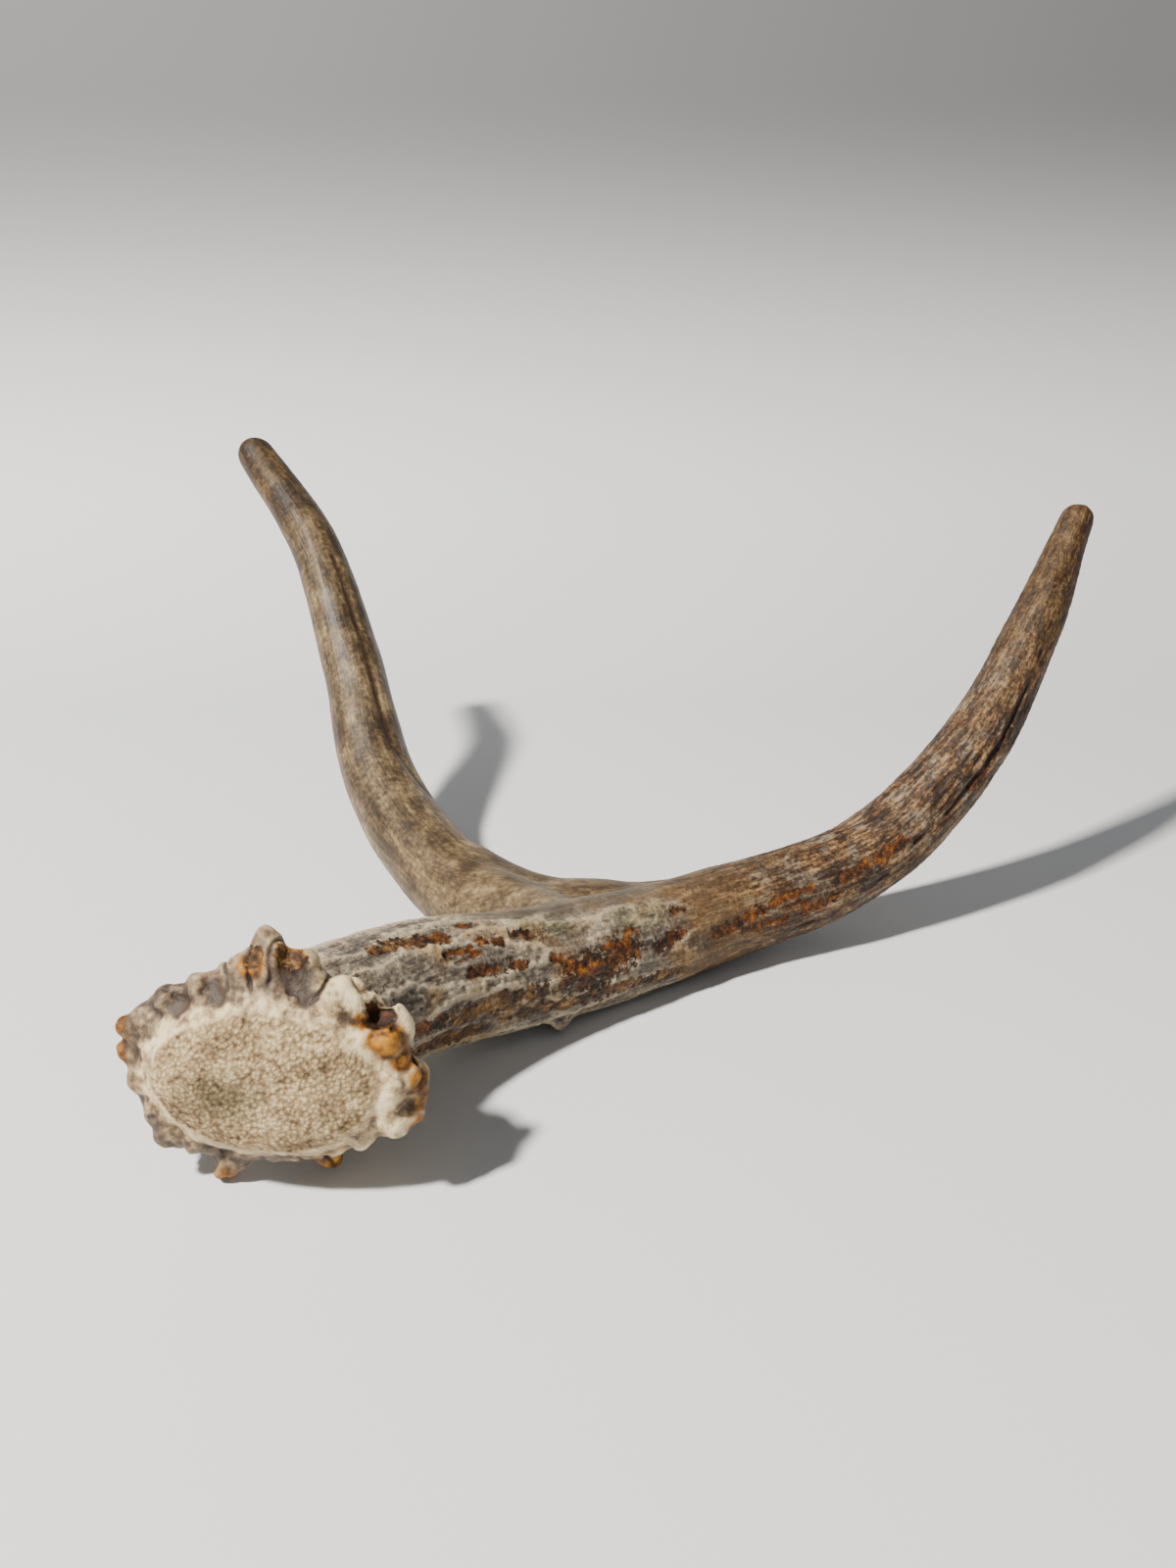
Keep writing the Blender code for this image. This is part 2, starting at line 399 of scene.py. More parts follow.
def soften(skin):
    """Rounds off the stair-steps everywhere, and the creases where the limbs meet."""
    bm = bmesh.new()
    bm.from_mesh(skin)
    into_burr = burr_frame().inverted()

    def depth(vert):
        return -(into_burr @ (vert.co / MM)).z

    smooth(bm, bm.verts[:], SKIN_ROUNDS)
    nearest, furthest = COLLAR_DEPTHS
    smooth(bm, [v for v in bm.verts if nearest < depth(v) < furthest], COLLAR_ROUNDS)
    for centre, reach, rounds in CREASES:
        middle = Vector(centre) * MM
        smooth(bm, [v for v in bm.verts if (v.co - middle).length < reach * MM], rounds)
    # The seal and the lobes that face out carry the finest detail.
    front = [edge for edge in bm.edges if max(map(depth, edge.verts)) < FINE_DEPTH]
    bmesh.ops.subdivide_edges(bm, edges=front, cuts=1, use_grid_fill=True)
    smooth(bm, [v for v in bm.verts if depth(v) < FINE_DEPTH], FINE_ROUNDS)
    bm.to_mesh(skin)
    bm.free()


skin = grow_skin()
soften(skin)


# ---- Where each point of the skin lies ----
# Antler grows along its length, so its furrows, streaks and grain follow its limbs. Each point of the skin
# gets its place along the limb that it is on, and its place on the burr, seen face on.

LINE_STEP = 0.5
# The left tine from its tip down, and on across the fork.
BRANCH_ROUTE = tuple(reversed(LEFT_ROUTE[2:])) + SADDLE_ROUTE[1:]


def read_points(mesh):
    points = np.empty(len(mesh.vertices) * 3, np.float32)
    mesh.vertices.foreach_get("co", points)
    return points.reshape(-1, 3).astype(np.float64) / MM


def read_normals(mesh):
    normals = np.empty(len(mesh.vertices) * 3, np.float32)
    mesh.vertex_normals.foreach_get("vector", normals)
    return normals.reshape(-1, 3).astype(np.float64)


def read_edges(mesh):
    edges = np.empty(len(mesh.edges) * 2, np.int32)
    mesh.edges.foreach_get("vertices", edges)
    return edges.reshape(-1, 2)


def limb_places(points, stations):
    """For each point: (across, across, along) beside the route's line, and its distance in radii."""
    route = smooth_route(stations, LINE_STEP)
    frames = ring_frames(route)
    tree = kdtree.KDTree(len(route))
    for i, station in enumerate(route):
        tree.insert(station.xyz, i)
    tree.balance()
    nearest = np.array([tree.find(p)[1] for p in points.tolist()])
    middles = np.array([p.xyz for p in route])
    radii = np.array([p.w for p in route])
    along = np.concatenate(([0], np.cumsum(np.linalg.norm(np.diff(middles, axis=0), axis=1))))
    turns = np.array([f.to_3x3().transposed() for f in frames])
    away = np.einsum("nij,nj->ni", turns[nearest], points - middles[nearest])
    away_in_radii = np.hypot(away[:, 0], away[:, 1]) / radii[nearest]
    away[:, 2] += along[nearest]
    return away, away_in_radii, radii[nearest]


def step(value, low, high):
    """0 below low, 1 above high, and smooth between."""
    t = np.clip((value - low) / (high - low), 0, 1)
    return t * t * (3 - 2 * t)


def rough(points, across, along=None, seed=0):
    """Smooth noise, about -1 to 1, with lumps `across` wide and `along` long."""
    sizes = np.array((across, across, along or across))
    spots = points / sizes + seed * 7.31
    return np.array([noise.noise(spot) for spot in spots.tolist()])


points = read_points(skin)
normals = read_normals(skin)
edges = read_edges(skin)
trunk, trunk_away, trunk_radius = limb_places(points, TRUNK_ROUTE)
branch, branch_away, branch_radius = limb_places(points, BRANCH_ROUTE)
in_burr = np.array(burr_frame().inverted())
face_points = points @ in_burr[:3, :3].T + in_burr[:3, 3]


# ---- Relief and stains of the weathered bone ----
# The bone grew furrowed along its length, ridged near the burr and smooth on the tines, which rubbing has
# worn. Where its outer crust has flaked off on the ground, rust-brown bone shows in shallow patches.

# Flaked patches on the trunk: (along, direction) of each end, and half the width. Direction is in degrees
# round the limb: 0 faces the front, -90 the top.
RUST_PATCHES = (
    ((77, -3), (92, -16), 5.2),
    ((85, -24), (91, -22), 1.6),
    ((26, 8), (36, 10), 2.2),
    ((27, -74), (43, -61), 1.9),
    ((46, -25), (55, -22), 1.5),
    ((41, -46), (47, -44), 1.2),
    ((51, -50), (57, -48), 1.3),
    ((61, -54), (65, -51), 1.7),
    ((58, -26), (62, -24), 1.6),
    ((70, -24), (72, -22), 1.4),
    ((101, -9), (109, -18), 2.1),
    ((109, -44), (113, -44), 1.2),
    ((121, -5), (139, -18), 1.9),
    ((141, -20), (153, -23), 1.4),
    ((162, -18), (170, -21), 1.7),
    ((149, 2), (158, 0), 1.5),
    ((130, 3), (143, 5), 1.3),
    ((174, -20), (183, -18), 1.6),
    ((208, 2), (220, 4), 1.6),
    ((70, 120), (96, 130), 4.4),
    ((120, 95), (150, 100), 3.0),
    ((30, 170), (58, -170), 3.8),
    ((176, 120), (200, 110), 2.2),
)
OCHRE_PATCHES = (
    ((40, 12), (67, 5), 2.9),
    ((62, 26), (108, 24), 2.3),
    ((22, 30), (50, 36), 2.5),
    ((24, -72), (36, -64), 1.8),
)
GREEN_TINTS = (((67, -62), (70, -60), 3.0), ((73, -54), (76, -52), 2.6), ((94, -50), (104, -50), 3.2))
# Grooves and a ridge along the tines: their corners, as (along, direction).
RIGHT_GROOVE = ((186, -4), (200, 0), (214, -1), (232, -3), (250, -4))
LEFT_GROOVE = ((60, 64), (75, 60), (110, 59), (137, 56), (156, 31), (166, 10))
LEFT_RIDGE = ((36, 98), (52, 101), (70, 104))

# Where the tines part from the beam: a point on the cut, and the direction of the limb there.
LEFT_CUT = ((-52, -7.3, 12.4), (-0.62, 0.78, 0.05))
RIGHT_CUT = ((43, -25.5, 16), (0.92, 0.36, 0.16))
LEFT_FINISH_FROM = (-47, -13.5, 12)
SEAL_HALF_SIZES = (21.2, 13.5)
LOWEST = 0.02  # the skin stays this much above the floor
LEVEL_ROUNDS = 24  # rounds that level the skin, to tell what is sunken
RUST_SPREAD = 1.25  # a stain fades out over this many times its radius
AMBER_SPREAD = 1.4


def beside_line(place, radius, line):
    """How far each point is, over the surface, from a line through the (along, direction) corners."""
    direction = np.degrees(np.arctan2(place[:, 1], place[:, 0]))
    best = np.full(len(place), 1e9)
    for (along_a, turn_a), (along_b, turn_b) in zip(line, line[1:]):
        ahead = place[:, 2] - along_a
        beside = np.radians((direction - turn_a + 180) % 360 - 180) * radius
        run = along_b - along_a
        drift = np.radians((turn_b - turn_a + 180) % 360 - 180) * radius
        share = np.clip((ahead * run + beside * drift) / (run**2 + drift**2), 0, 1)
        best = np.minimum(best, np.hypot(ahead - share * run, beside - share * drift))
    return best


# Each share is 0 to 1: how far a point belongs to that part of the antler. The branch's line ends inside
# the right tine, which belongs to the trunk.
on_saddle = 1 - step(branch[:, 2], 255, 300)
branch_share = step(trunk_away - branch_away, -0.35, 0.35) * on_saddle
left_share = step((points - LEFT_FINISH_FROM) @ LEFT_CUT[1], -22, 22)
right_share = step((points - RIGHT_CUT[0]) @ RIGHT_CUT[1], -46, 4)
burr_depth = -face_points[:, 2]
burr_share = 1 - step(burr_depth, 12, 20)
beam_share = (1 - left_share) * (1 - right_share)
web_share = (1 - step(branch_away + 0.4 * rough(points, 9, seed=29), 1.6, 3.2)) * on_saddle
# The crust also stops along the top of the beam, beside the fork: 90 is the top here, and 180 the back.
turn_up = np.degrees(np.arctan2(-trunk[:, 1], trunk[:, 0])) % 360 + 9 * rough(points, 6, seed=33)
beside_fork = step(turn_up, 62, 92) * (1 - step(turn_up, 200, 240))
beside_fork *= step(trunk[:, 2], 44, 66) * (1 - step(trunk[:, 2], 160, 190))
web_share = np.maximum(web_share, beside_fork)
seal_x, seal_y = (face_points[:, :2] / SEAL_HALF_SIZES).T
seal_reach = np.hypot(seal_x, seal_y) + 0.05 * rough(points, 5, seed=3)
seal_share = (1 - step(seal_reach, 0.95, 1.03)) * (1 - step(burr_depth, 2, 4))


def fibre_rough(across, along, seed=0):
    """Roughness drawn out along the fibres of whichever limb each point is on."""
    on_trunk = rough(trunk, across, along, seed)
    on_branch = rough(branch, across, along, seed + 1)
    return on_trunk + (on_branch - on_trunk) * branch_share


ragged = 0.7 * fibre_rough(3.2, 6, seed=4) + 0.45 * rough(points, 1.4, seed=5)


def spread(patches, raggedness):
    """How deep inside the patches each point is: 0 well outside, 0.5 at their ragged edges, 1 inside."""
    found = np.zeros(len(points))
    for start, end, half_width in patches:
        distance = beside_line(trunk, trunk_radius, (start, end))
        found = np.maximum(found, 1 - 0.5 * distance / half_width + raggedness * ragged)
    return np.clip(found, 0, 1) * (1 - branch_share)


on_bare_beam = beam_share * (1 - burr_share) * (1 - 0.8 * np.maximum(branch_share, web_share))
ochre = spread(OCHRE_PATCHES, 0.30)
scattered = fibre_rough(4, 11, seed=6) + 0.3 * fibre_rough(1.2, 3, seed=7)
scattered = np.clip(0.5 + (scattered - 0.58) * 1.3, 0, 1) * np.maximum(on_bare_beam, 0.85 * right_share)
rust = np.maximum.reduce((spread(RUST_PATCHES, 0.34), ochre, scattered))

# Ridges stand where the waves cross zero, so they wander along the beam between wide furrows.
wave = fibre_rough(5.5, 30, seed=8) + 0.28 * rough(points, 7, seed=9) + 0.12 * rough(points, 1.6, seed=26)
ridge = 0.6 * np.exp(-np.abs(wave / 0.12) ** 1.3) + 0.4 * np.exp(-np.abs(wave / 0.4))
second_wave = fibre_rough(3, 15, seed=10) + 0.26 * rough(points, 3, seed=27)
ridge = np.maximum(ridge, 0.5 * np.exp(-np.abs(second_wave / 0.11) ** 1.3))
furrow_strength = beam_share * (1 - 0.65 * step(trunk[:, 2], 60, 170)) * (1 - 0.9 * web_share)

dash = step(fibre_rough(1.3, 8, seed=11) + 0.3 * rough(points, 9, seed=12), 0.38, 0.6)
dash *= right_share * (1 - step(trunk[:, 2], 215, 262)) + 0.35 * on_bare_beam
right_groove = np.exp(-((beside_line(trunk, trunk_radius, RIGHT_GROOVE) / 1.1 + 0.45 * ragged) ** 2))
right_groove *= 0.3 + 0.7 * step(rough(points, 8, seed=13), -0.4, 0.2)
left_groove = np.exp(-((beside_line(branch, branch_radius, LEFT_GROOVE) / 1.6) ** 2)) * left_share
left_groove *= 0.7 + 0.3 * rough(points, 12, seed=34)
left_ridge = np.exp(-((beside_line(branch, branch_radius, LEFT_RIDGE) / 1.4) ** 2)) * left_share
groove = np.maximum(right_groove * right_share, left_groove)

# Relief is how far each point is raised, in millimetres.
relief = 0.40 * rough(points, 26, seed=14) + 0.18 * rough(points, 10, seed=15)
furrows = 0.80 * ridge + 0.16 * fibre_rough(2.4, 9, seed=16) + 0.11 * rough(points, 1.2, seed=30)
relief += furrow_strength * furrows
relief += right_share * (0.30 * fibre_rough(2.2, 14, seed=17) + 0.12 * rough(points, 1.5, seed=18))
left_grain = 0.14 * fibre_rough(4, 20, seed=19) + 0.05 * rough(points, 2.2, seed=35)
relief += left_share * (left_grain + 0.30 * left_ridge)
relief -= step(rust, 0.38, 0.62) * (0.32 + 0.25 * rough(points, 1.6, seed=20))
relief -= 0.35 * dash + 0.9 * right_groove * right_share + 0.75 * left_groove


def burr_spot(spot, radius):
    """A soft round spot on the burr, 1 at its middle."""
    x, y, depth = spot
    away = np.linalg.norm(face_points - (x, y, -depth), axis=1)
    return np.exp(-((away / radius) ** 2))


knobbly = 0.85 * rough(points, 7, seed=21) + 0.42 * rough(points, 3.2, seed=22)
knobbly += 0.14 * rough(points, 1.4, seed=23)
round_rim = face_points / np.hypot(face_points[:, 0], face_points[:, 1])[:, None] * 9
round_rim[:, 2] = face_points[:, 2] * 0.25
wrinkle = np.abs(rough(round_rim, 2.8, seed=31) + 0.15 * rough(points, 4, seed=32))
knobbly -= 0.6 * np.exp(-((wrinkle / 0.09) ** 2)) * step(seal_reach + 0.2 * ragged, 1.15, 1.45)
seal_grain = 0.15 * rough(points, 0.9, seed=24) + 0.14 * rough(points, 2.4, seed=25)
seal_grain += 0.22 * rough(points, 7, seed=36)
burr_relief = knobbly + (seal_grain - knobbly) * seal_share
collar = 1 - step(seal_reach, 1.03, 1.25)
burr_relief *= 1 - 0.6 * collar * (1 - seal_share)
hollows = np.zeros(len(points))
for spot, radius, how_far in BURR_HOLLOWS:
    sunk = burr_spot(spot, radius * (1 + 0.35 * ragged))
    hollows = np.maximum(hollows, sunk)
    burr_relief -= how_far * sunk
relief += (burr_relief - relief) * burr_share
points = points + normals * relief[:, None]
points[:, 2] = np.maximum(points[:, 2], LOWEST)


def neighbour_mean(values):
    """Each point's mean over the points that it shares an edge with."""
    total = np.zeros_like(values)
    ends = np.concatenate((edges, edges[:, ::-1]))
    count = np.bincount(ends[:, 0], minlength=len(values))
    for axis in range(values.shape[1]):
        total[:, axis] = np.bincount(ends[:, 0], values[ends[:, 1], axis], len(values))
    return total / count[:, None]


skin.vertices.foreach_set("co", (points * MM).astype(np.float32).ravel())
skin.update()
normals = read_normals(skin)
# How sunk each point is below its levelled neighbours. The looks darken sunk places with painted shade,
# partly as a dirt film.
levelled = points
for _ in range(LEVEL_ROUNDS):
    levelled = neighbour_mean(levelled)
sunken = step(((levelled - points) * normals).sum(1), -0.35, 0.45)


def store(name, *channels):
    values = np.stack(channels, axis=1).astype(np.float32)
    layer = skin.attributes.new(name, "FLOAT_VECTOR", "POINT")
    layer.data.foreach_set("vector", values.ravel())


for spot, radius in BURR_RUST:
    rust = np.maximum(rust, burr_spot(spot, radius * RUST_SPREAD))
amber = ochre
for spot, radius in BURR_AMBER:
    washed = burr_spot(spot, radius * AMBER_SPREAD) + 0.2 * ragged
    amber = np.maximum(amber, step(washed, 0.15, 0.85))
for spot, radius in BURR_TAN:
    amber = np.maximum(amber, 0.45 * burr_spot(spot, radius * AMBER_SPREAD))
# On the seal, a short ochre line slants up to the right, and an olive patch lies left of the middle.
line_x = face_points[:, 0] - 15.8
line_y = (face_points[:, 1] + 6.1 - 0.4 * line_x) * 3.4
amber = np.maximum(amber, 0.8 * step(ragged - np.hypot(line_x, line_y), -3.6, -1.6) * seal_share)
olive_away = np.hypot((face_points[:, 0] + 7.0) / 10, (face_points[:, 1] + 1.8) / 5.6)
olive = step(0.3 * ragged - olive_away, -1.2, -0.3)
# The flange behind the seal is greyer than the collar, but for its bright right side.
flange = step(seal_reach, 1.12, 1.4) * (1 - step(face_points[:, 0], 6, 15))
seal_edge = 1 - step(np.abs(seal_reach - 1.08), 0.04, 0.14)
# On the burr this channel holds painted shade for the hollows, greys the flange and pales the seal's edge;
# on the seal it holds the olive patch, and on the beam the green tints.
shade = np.maximum(hollows, 0.55 * flange * (1 - amber)) - 0.4 * seal_edge
shade = shade + (olive - shade) * seal_share
shade = shade * burr_share + spread(GREEN_TINTS, 0.3) * (1 - burr_share)
left_tip = 1 - step(branch[:, 2], 8, 80)
right_tip = step(trunk[:, 2], 210, 275)
tip = left_tip * left_share + right_tip * right_share
store("trunk_grain", *trunk.T)
store("branch_grain", *branch.T)
store("stain", rust, np.maximum(dash, groove), amber)
store("face", seal_share, burr_share, sunken)
store("zone", np.maximum(left_share, 0.9 * web_share), right_share, tip)
store("form", ridge * furrow_strength, branch_share, shade)


# ---- The weathered bone under every finish ----
# All four pieces are the same bone: a grey crust that weathered on the ground, rusty where it flaked off,
# with dirt settled in its pits, and painted shade darkening everything sunk. Each look is a group, laid
# over what is below it as far as its share goes.

LAYER_SOCKETS = {"Color": "NodeSocketColor", "Roughness": "NodeSocketFloat", "Height": "NodeSocketFloat"}
BARE_BONE = (150, 130, 100)


def paint(red, green, blue):
    """A colour from its red, green and blue on a 0 to 255 scale."""
    shares = [channel / 255 for channel in (red, green, blue)]
    return tuple(s / 12.92 if s < 0.04045 else ((s + 0.055) / 1.055) ** 2.4 for s in shares) + (1,)


def node(tree, kind, inputs=None, **settings):
    """A new node with its settings made, and each input linked or given its value."""
    made = tree.nodes.new(kind)
    for name, value in settings.items():
        setattr(made, name, value)
    for socket, value in (inputs or {}).items():
        if isinstance(value, bpy.types.NodeSocket):
            tree.links.new(value, made.inputs[socket])
        else:
            made.inputs[socket].default_value = value
    return made


def attribute(tree, name):
    return node(tree, "ShaderNodeAttribute", attribute_name=name).outputs["Vector"]


def channels(tree, name):
    split = node(tree, "ShaderNodeSeparateXYZ", {0: attribute(tree, name)})
    return split.outputs[0], split.outputs[1], split.outputs[2]


def scaled(tree, spot, scale, offset=0.0):
    inputs = {"Vector": spot, "Location": (offset, offset, 0), "Scale": scale}
    return node(tree, "ShaderNodeMapping", inputs).outputs[0]


def noise_over(tree, spot, detail, roughness):
    inputs = {"Vector": spot, "Scale": 1.0, "Detail": detail, "Roughness": roughness}
    return node(tree, "ShaderNodeTexNoise", inputs).outputs[0]


def lumps(tree, size, detail=2.0, roughness=0.5, offset=0.0):
    """Smooth 3-D noise over the piece, with lumps this many millimetres wide."""
    spot = node(tree, "ShaderNodeTexCoord").outputs["Object"]
    return noise_over(tree, scaled(tree, spot, (1 / (size * MM),) * 3, offset), detail, roughness)


def mix_value(tree, share, low, high):
    return node(tree, "ShaderNodeMix", {0: share, 2: low, 3: high}, data_type="FLOAT").outputs[0]


def mix_colour(tree, share, low, high, blend_type="MIX"):
    inputs = {0: share, 6: low, 7: high}
    return node(tree, "ShaderNodeMix", inputs, data_type="RGBA", blend_type=blend_type).outputs[2]


def fibres(tree, across, along, detail=2.0, roughness=0.5):
    """Noise drawn out along the bone, on whichever limb each point is on."""
    found = []
    for name in ("trunk_grain", "branch_grain"):
        spot = scaled(tree, attribute(tree, name), (1 / across, 1 / across, 1 / along))
        found.append(noise_over(tree, spot, detail, roughness))
    return mix_value(tree, channels(tree, "form")[1], *found)


def between(tree, value, low, high):
    """0 below low, 1 above high, and smooth between."""
    ends = {"Value": value, "From Min": low, "From Max": high}
    return node(tree, "ShaderNodeMapRange", ends, interpolation_type="SMOOTHSTEP").outputs[0]


def ramp(tree, value, *stops):
    """A colour that changes with the value. Each stop is (value, red, green, blue)."""
    made = node(tree, "ShaderNodeValToRGB", {0: value})
    elements = made.color_ramp.elements
    while len(elements) < len(stops):
        elements.new(0.5)
    for element, (position, *colour) in zip(elements, stops):
        element.position = position
        element.color = paint(*colour)
    return made.outputs[0]


def weighed(tree, *parts):
    """The sum of the values, each times its weight."""
    total = 0.0
    for value, weight in parts:
        inputs = {0: value, 1: weight, 2: total}
        total = node(tree, "ShaderNodeMath", inputs, operation="MULTIPLY_ADD").outputs[0]
    return total


def look(name):
    """A new group for one look. What is below and the look's share go in, and what then shows comes out.

    Heights are in millimetres.
    """
    group = bpy.data.node_groups.new(name, "ShaderNodeTree")
    for label, kind in LAYER_SOCKETS.items():
        group.interface.new_socket(label, in_out="INPUT", socket_type=kind)
        group.interface.new_socket(label, in_out="OUTPUT", socket_type=kind)
    group.interface.new_socket("Share", in_out="INPUT", socket_type="NodeSocketFloat")
    return group, node(group, "NodeGroupInput").outputs


def finish_look(tree, below, share, colour, roughness, height):
    shown = {"Color": mix_colour(tree, share, below["Color"], colour)}
    shown["Roughness"] = mix_value(tree, share, below["Roughness"], roughness)
    shown["Height"] = mix_value(tree, share, below["Height"], height)
    node(tree, "NodeGroupOutput", shown)


def weathered_crust():
    """The beam's crust: pale wavy ridges, grey between them, browner towards the fork."""
    tree, below = look("weathered_crust")
    ridge_up, on_branch, green = channels(tree, "form")
    _, _, sunk = channels(tree, "face")
    _, near_right, _ = channels(tree, "zone")
    mottle = lumps(tree, 0.9, detail=4, roughness=0.7)
    cloud = lumps(tree, 8, detail=3, offset=5)
    spots = lumps(tree, 2.6, detail=3, roughness=0.65, offset=13)
    fine = fibres(tree, 0.7, 4, detail=3)
    # Sunk places are made a little darker: painted shade.
    tone = weighed(
        tree, (ridge_up, 0.26), (mottle, 0.54), (cloud, 0.26), (spots, 0.22), (fine, 0.36),
        (sunk, -0.12), (1.0, -0.23),
    )
    grey = ramp(
        tree, tone,
        (0.20, 34, 26, 21), (0.32, 64, 55, 48), (0.46, 101, 92, 80), (0.71, 182, 167, 142),
    )
    brown = ramp(
        tree, tone,
        (0.20, 26, 14, 7), (0.33, 60, 40, 22), (0.48, 100, 74, 45), (0.72, 172, 143, 100),
    )
    warm = weighed(tree, (cloud, 1.0), (on_branch, 0.5), (near_right, 1.3))
    colour = mix_colour(tree, between(tree, warm, 0.45, 0.75), grey, brown)
    greened = weighed(tree, (green, 0.6))
    colour = mix_colour(tree, greened, colour, paint(176, 180, 118), "MULTIPLY")
    pits = between(tree, lumps(tree, 1.7, detail=2, roughness=0.7, offset=17), 0.67, 0.72)
    colour = mix_colour(tree, weighed(tree, (pits, 0.75)), colour, paint(36, 18, 9))
    finish_look(
        tree, below, below["Share"], colour, mix_value(tree, mottle, 0.6, 0.85),
        weighed(tree, (mottle, 0.42), (fine, 0.28), (spots, 0.15), (pits, -0.2)),
    )
    return tree


def rusty_bone():
    """Flaked places: dark pits, rust and amber. Amber places are paler and less red."""
    tree, below = look("rusty_bone")
    _, _, ambered = channels(tree, "stain")
    mottle = lumps(tree, 1.2, detail=4, roughness=0.7)
    patchy = lumps(tree, 5, detail=2, offset=3)
    edge = lumps(tree, 1.6, detail=4, roughness=0.75, offset=11)
    tone = weighed(tree, (mottle, 1.1), (patchy, 0.8), (1.0, -0.45))
    red = ramp(
        tree, tone,
        (0.33, 24, 10, 2), (0.45, 54, 26, 4), (0.57, 92, 48, 6),
        (0.71, 134, 78, 10), (0.84, 146, 102, 40),
    )
    yellow = ramp(
        tree, tone,
        (0.34, 28, 15, 6), (0.46, 72, 46, 18), (0.58, 112, 78, 37), (0.74, 156, 120, 70),
    )
    flaked = between(tree, weighed(tree, (below["Share"], 1.0), (edge, 1.8)), 1.46, 1.58)
    colour = mix_colour(tree, between(tree, ambered, 0.4, 0.7), red, yellow)
    finish_look(
        tree, below, flaked, colour, mix_value(tree, mottle, 0.74, 0.46),
        weighed(tree, (mottle, 0.6)),
    )
    return tree


def dirt_and_hollow_shade():
    """Dark in the dashes and grooves, and a brown film in everything that is sunk, which is dirt and
    painted shade.
    """
    tree, below = look("dirt_and_hollow_shade")
    _, pitted, _ = channels(tree, "stain")
    _, _, sunk = channels(tree, "face")
    edge = lumps(tree, 0.9, detail=3, offset=11)
    pitted = between(tree, weighed(tree, (pitted, 1.0), (edge, 0.5)), 0.6, 1.0)
    colour = mix_colour(tree, weighed(tree, (pitted, 0.85)), below["Color"], paint(42, 24, 14))
    # The brown film in sunk places is partly dirt and partly painted shade.
    film = weighed(tree, (between(tree, sunk, 0.5, 0.95), 0.45))
    colour = mix_colour(tree, film, colour, paint(108, 76, 54), "MULTIPLY")
    finish_look(tree, below, below["Share"], colour, below["Roughness"], below["Height"])
    return tree


crust_look = weathered_crust()
rust_look = rusty_bone()
dirt_and_shade_look = dirt_and_hollow_shade()


def bone_material(name, finishes, gloss):
    """The bone's finish: the crust, each finish where its part of the antler is, and rust, dirt and painted
    shade on top.

    A finish is (look, attribute, channel), where the channel of the attribute holds the look's share.
    Gloss is the index of refraction.
    """
    material = bpy.data.materials.new(name)
    material.use_nodes = True
    tree = material.node_tree
    shader = tree.nodes["Principled BSDF"]
    layers = [(crust_look, 1.0)]
    layers += [(group, channels(tree, layer)[channel]) for group, layer, channel in finishes]
    layers += [(rust_look, channels(tree, "stain")[0]), (dirt_and_shade_look, 1.0)]
    shown = {"Color": paint(*BARE_BONE), "Roughness": 0.7, "Height": 0.0}
    for group, share in layers:
        laid = node(tree, "ShaderNodeGroup", {**shown, "Share": share}, node_tree=group)
        shown = {label: laid.outputs[label] for label in shown}
    tree.links.new(shown["Color"], shader.inputs["Base Color"])
    tree.links.new(shown["Roughness"], shader.inputs["Roughness"])
    bump = node(tree, "ShaderNodeBump", {"Height": shown["Height"], "Distance": MM, "Strength": 1.0})
    tree.links.new(bump.outputs[0], shader.inputs["Normal"])
    shader.inputs["IOR"].default_value = gloss
    return material


# ---- The left tine ----
# The left tine leaves the beam at the fork and bends up and back to a blunt tip. It is dense brown bone,
# rubbed to a satin finish, and grew as one with the beam, so it is fixed to the same root.


def satin_tine():
    """The left tine and the web of the fork: worn smooth, with soft brown and pale streaks."""
    tree, below = look("satin_tine")
    long_grain = fibres(tree, 4, 18, detail=3, roughness=0.6)
    fine = fibres(tree, 0.6, 7, detail=3)
    cloud = lumps(tree, 9, detail=3, offset=9)
    speck = lumps(tree, 1.6, detail=4, roughness=0.65, offset=2)
    tone = weighed(tree, (long_grain, 0.55), (speck, 0.65), (cloud, 0.55), (fine, 0.4), (1.0, -0.58))
    colour = ramp(
        tree, tone,
        (0.24, 32, 24, 14), (0.41, 63, 49, 31), (0.55, 96, 79, 54), (0.78, 150, 130, 95),
    )
    _, _, at_tip = channels(tree, "zone")
    tip_colour = ramp(tree, tone, (0.34, 24, 14, 5), (0.50, 50, 34, 12), (0.68, 90, 66, 28))
    colour = mix_colour(tree, weighed(tree, (at_tip, 0.85)), colour, tip_colour)
    finish_look(
        tree, below, below["Share"], colour, mix_value(tree, speck, 0.38, 0.6),
        weighed(tree, (fine, 0.16), (speck, 0.12)),
    )
    return tree


def back_to_front(cut):
    point, direction = cut
    return point, tuple(-share for share in direction)


